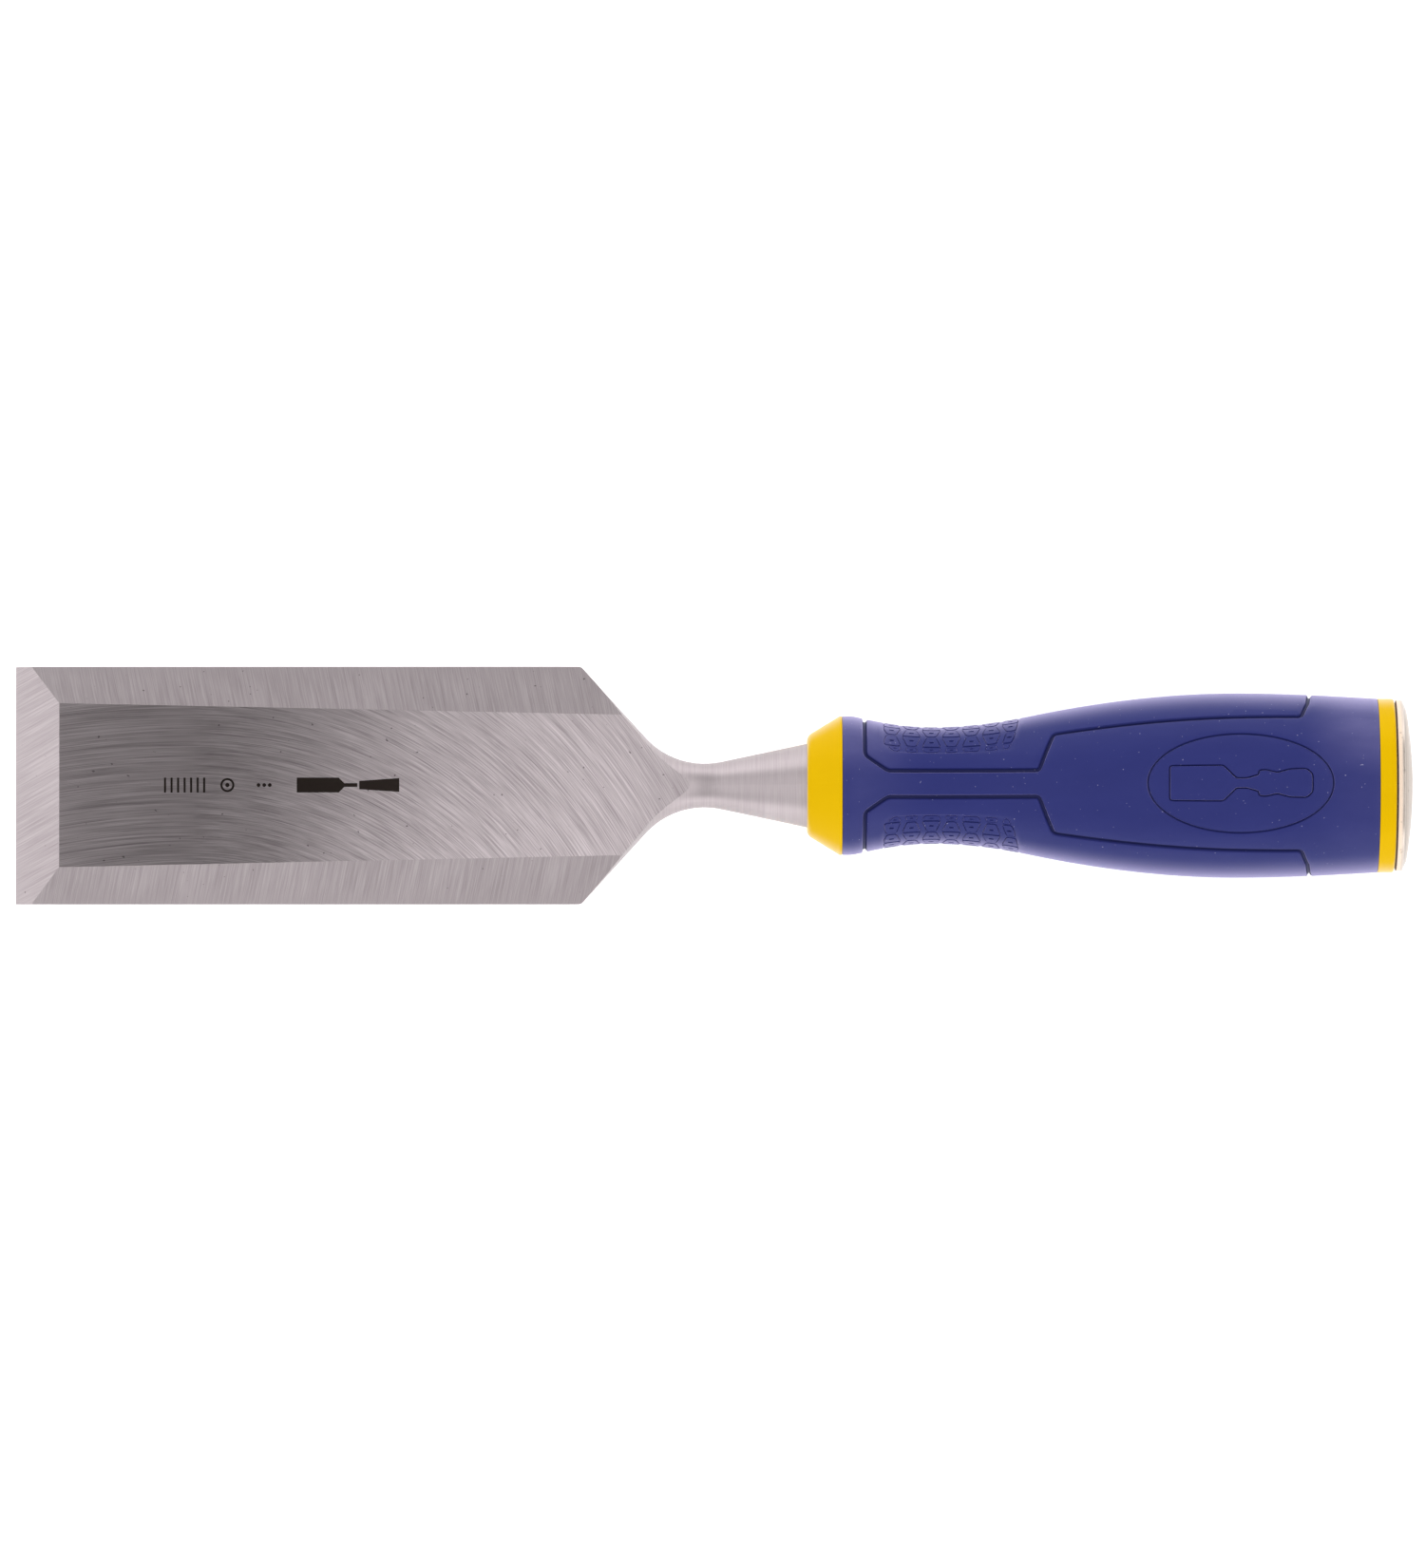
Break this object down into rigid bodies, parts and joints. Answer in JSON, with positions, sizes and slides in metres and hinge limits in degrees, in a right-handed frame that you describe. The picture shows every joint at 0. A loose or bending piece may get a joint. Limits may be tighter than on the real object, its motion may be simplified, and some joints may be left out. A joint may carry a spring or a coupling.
{
  "type": "bench chisel",
  "caption": "Wide bevel-edge bench chisel: ground steel blade with turned neck and bolster, hard plastic handle core, soft overmoulded grip and domed steel strike cap.",
  "frame": {"origin": "middle of the cutting edge, on the flat back of the blade", "axes": "+X from the cutting edge to the strike cap, +Z out of the bevelled face, -Z out of the flat back, +Y across the blade"},
  "size_m": [0.3, 0.051, 0.0379],
  "materials": {
    "blade_steel": "ground, with fine wheel marks",
    "yellow_plastic": "moulded, semi-gloss",
    "blue_rubber": "soft touch, fine matt grain",
    "cap_steel": "turned, lightly brushed"
  },
  "bodies": {
    "root": {"blade": "blade_steel", "handle_core": "yellow_plastic", "grip_sleeve": "blue_rubber", "strike_cap": "cap_steel"}
  },
  "joints": []
}
